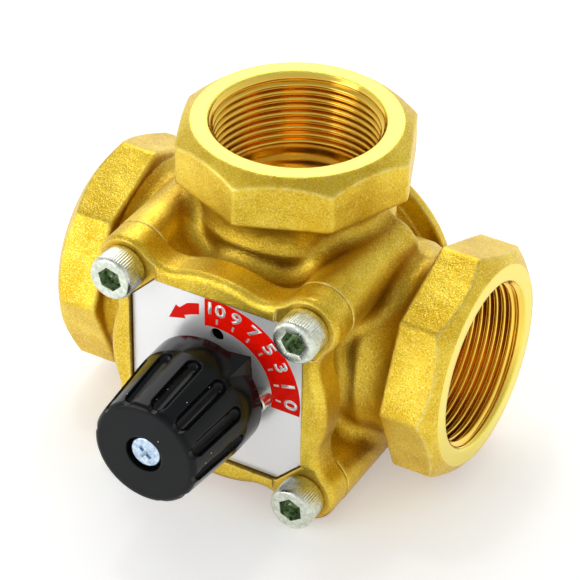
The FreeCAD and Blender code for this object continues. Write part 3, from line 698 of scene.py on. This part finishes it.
def figure(text, angle, material):
    """A number with its top towards the rim of the scale."""
    curve = bpy.data.curves.new("figure", "FONT")
    curve.body = text
    curve.align_x = "CENTER"
    curve.align_y = "CENTER"
    curve.offset = FIGURE_WEIGHT
    curve.resolution_u = FIGURE_CURVES
    holder = bpy.data.objects.new("figure", curve)
    bpy.context.scene.collection.objects.link(holder)
    bpy.context.view_layer.update()
    flat = bpy.data.meshes.new_from_object(holder.evaluated_get(bpy.context.evaluated_depsgraph_get()))
    bpy.data.objects.remove(holder)
    xs = [v.co.x for v in flat.vertices]
    ys = [v.co.y for v in flat.vertices]
    tall = max(ys) - min(ys)
    centre_x = (max(xs) + min(xs)) / 2
    centre_y = (max(ys) + min(ys)) / 2
    scale = FIGURE_HEIGHT / tall
    up = Vector((cos(angle), 0, sin(angle)))
    right = Vector((sin(angle), 0, -cos(angle)))
    centre = at_front(FIGURE_R * cos(angle), FIGURE_R * sin(angle), 2 * PRINT_THICKNESS)
    for vert in flat.vertices:
        across = right * (vert.co.x - centre_x) * scale * FIGURE_STRETCH
        along = up * (vert.co.y - centre_y) * scale
        vert.co = centre + across + along
    work = bmesh.new()
    work.from_mesh(flat)
    bmesh.ops.remove_doubles(work, verts=work.verts, dist=WELD)
    top = bmesh.ops.extrude_face_region(work, geom=work.faces[:])
    moved = [g for g in top["geom"] if isinstance(g, bmesh.types.BMVert)]
    bmesh.ops.translate(work, verts=moved, vec=Vector((0, PRINT_THICKNESS, 0)))
    bmesh.ops.recalc_face_normals(work, faces=work.faces)
    work.to_mesh(flat)
    work.free()
    new_object("scale_figure_" + text, flat, material, "valve")


def red_arrow(material):
    """Curved arrow that points the opening way round."""
    outer = arc(ARROW_OUTER, degrees_at(ARROW_OUTER, x=ARROW_TAIL), ARROW_BEND, ARROW_STEPS)
    inner = arc(ARROW_INNER, ARROW_NECK, degrees_at(ARROW_INNER, x=ARROW_TAIL), ARROW_STEPS)
    head = [(x * MM, z * MM) for x, z in ARROW_HEAD]
    printed("scale_arrow", outer + head + inner, 0.0, material)


# ---- room -----------------------------------------------------------------
def seen_directly(nodes):
    """1 for rays that show the background: direct, mirrored or refracted."""
    rays = nodes.add("ShaderNodeLightPath").outputs
    mirrored = nodes.maths("MAXIMUM", rays["Is Camera Ray"], rays["Is Glossy Ray"])
    return nodes.maths("MAXIMUM", mirrored, rays["Is Transmission Ray"])


def floor():
    """White paper that keeps the shadows and is lifted to white elsewhere."""
    corners = [(FLOOR_HALF * x, FLOOR_HALF * y, 0) for x, y in ((-1, -1), (1, -1), (1, 1), (-1, 1))]
    mesh = mesh_from("floor", corners, [(0, 1, 2, 3)])
    piece = bpy.data.objects.new("floor", mesh)
    bpy.context.scene.collection.objects.link(piece)
    nodes = Nodes("floor_paper")
    tone = nodes.cloud(PAPER_TONE, 2.0)
    colour = nodes.blend(tone, *PAPER)
    material = nodes.set(colour=colour, rough=0.9, specular=0.1)
    lift = nodes.add("ShaderNodeEmission")
    lift.inputs["Color"].default_value = (1, 1, 1, 1)
    strength = nodes.maths("MULTIPLY", seen_directly(nodes), FLOOR_LIFT)
    nodes.join(strength, lift.inputs["Strength"])
    both = nodes.add("ShaderNodeAddShader")
    nodes.join(nodes.shader.outputs["BSDF"], both.inputs[0])
    nodes.join(lift.outputs["Emission"], both.inputs[1])
    nodes.join(both.outputs["Shader"], nodes.output.inputs["Surface"])
    mesh.materials.append(material)


def lamp(name, toward, distance, size, radiance):
    """A square soft light that faces the valve from a direction."""
    data = bpy.data.lights.new(name, "AREA")
    data.shape = "RECTANGLE"
    data.size, data.size_y = size
    data.energy = radiance * pi * size[0] * size[1]
    light = bpy.data.objects.new(name, data)
    bpy.context.scene.collection.objects.link(light)
    aim = Vector(toward).normalized()
    light.location = PORT_AXES + aim * distance
    light.rotation_euler = (-aim).to_track_quat("-Z", "Y").to_euler()


def room():
    """Pale walls round the valve, darker overhead."""
    world = bpy.data.worlds.new("room")
    bpy.context.scene.world = world
    world.use_nodes = True
    tree = world.node_tree
    background = tree.nodes["Background"]
    background.inputs["Color"].default_value = (1.0, 1.0, 1.0, 1.0)
    place = tree.nodes.new("ShaderNodeTexCoord")
    split = tree.nodes.new("ShaderNodeSeparateXYZ")
    tree.links.new(place.outputs["Generated"], split.inputs[0])
    height = tree.nodes.new("ShaderNodeMapRange")
    tree.links.new(split.outputs["Z"], height.inputs["Value"])
    height.inputs["To Min"].default_value = WALL_LIGHT
    height.inputs["To Max"].default_value = CEILING_LIGHT
    tree.links.new(height.outputs["Result"], background.inputs["Strength"])
    for light in LIGHTS:
        lamp(*light)


def camera():
    """The camera, placed by its angles round the valve."""
    data = bpy.data.cameras.new("camera")
    data.sensor_fit = "HORIZONTAL"
    data.angle = radians(CAMERA_ANGLE)
    data.clip_start = 0.01
    piece = bpy.data.objects.new("camera", data)
    bpy.context.scene.collection.objects.link(piece)
    turn = Euler((radians(90 - CAMERA_ELEVATION), 0, radians(CAMERA_AZIMUTH))).to_matrix()
    turn = turn @ Matrix.Rotation(radians(CAMERA_ROLL), 3, "Z")
    piece.matrix_world = turn.to_4x4()
    piece.location = PORT_AXES + LOOK_BESIDE + turn @ Vector((0, 0, CAMERA_DISTANCE))
    bpy.context.scene.camera = piece


def dress():
    """Give every CAD node its material and add the pieces it lacks."""
    steel = turned_metal("zinc_steel", *ZINC, 0.26)
    stem = turned_metal("stem_steel", *STEM_STEEL, 0.25)
    brass = turned_metal("machined_brass", CUT_BRASS, CUT_BRASS_DARK, 0.22)
    finishes = {
        "valve_body": cast_brass("body_brass", turned_ports, BODY_EDGE, BODY_SHINE),
        "front_cover": cast_brass("cover_brass", turned_cover, COVER_EDGE, COVER_SHINE),
        "rotor": brass,
        "scale_plate": plate_metal(),
        "knob": black_plastic(),
        "knob_screw": turned_metal("blue_zinc", *BLUE_ZINC, 0.24),
    }
    by_slot = {
        "zinc_steel": steel, "stem_steel": stem,
        "seal_rubber": plain_finish("seal_rubber", *RUBBER, 0.55),
        "white_polymer": plain_finish("white_polymer", *WHITE_POLYMER, 0.4),
    }
    slots = {s["node"]: s["material_slot"] for s in frame["record"]["subparts"]}
    for name, piece in frame["nodes"].items():
        material = finishes.get(name) or by_slot[slots[name]]
        piece.data.materials.clear()
        piece.data.materials.append(material)
    cut = cut_thread()
    for port in ("top_port", "right_port", "left_port"):
        thread(port, cut)
    green = socket_green()
    for k, place in enumerate(("top_left", "top_right", "bottom_left", "bottom_right")):
        turn = radians(SCREW_TURN[0] + SCREW_TURN[1] * k)
        knurled_screw("cap_screw_" + place, steel, green, turn)
    red = plain_finish("red_print", *RED_PRINT, 0.3, 0.08)
    red_sector(red)
    red_arrow(red)
    ticks(finishes["scale_plate"])
    for k, text in enumerate(FIGURES):
        figure(text, radians(90 - FIGURE_STEP * k), finishes["scale_plate"])


dress()
floor()
room()
camera()
bpy.context.scene.view_settings.view_transform = "Standard"
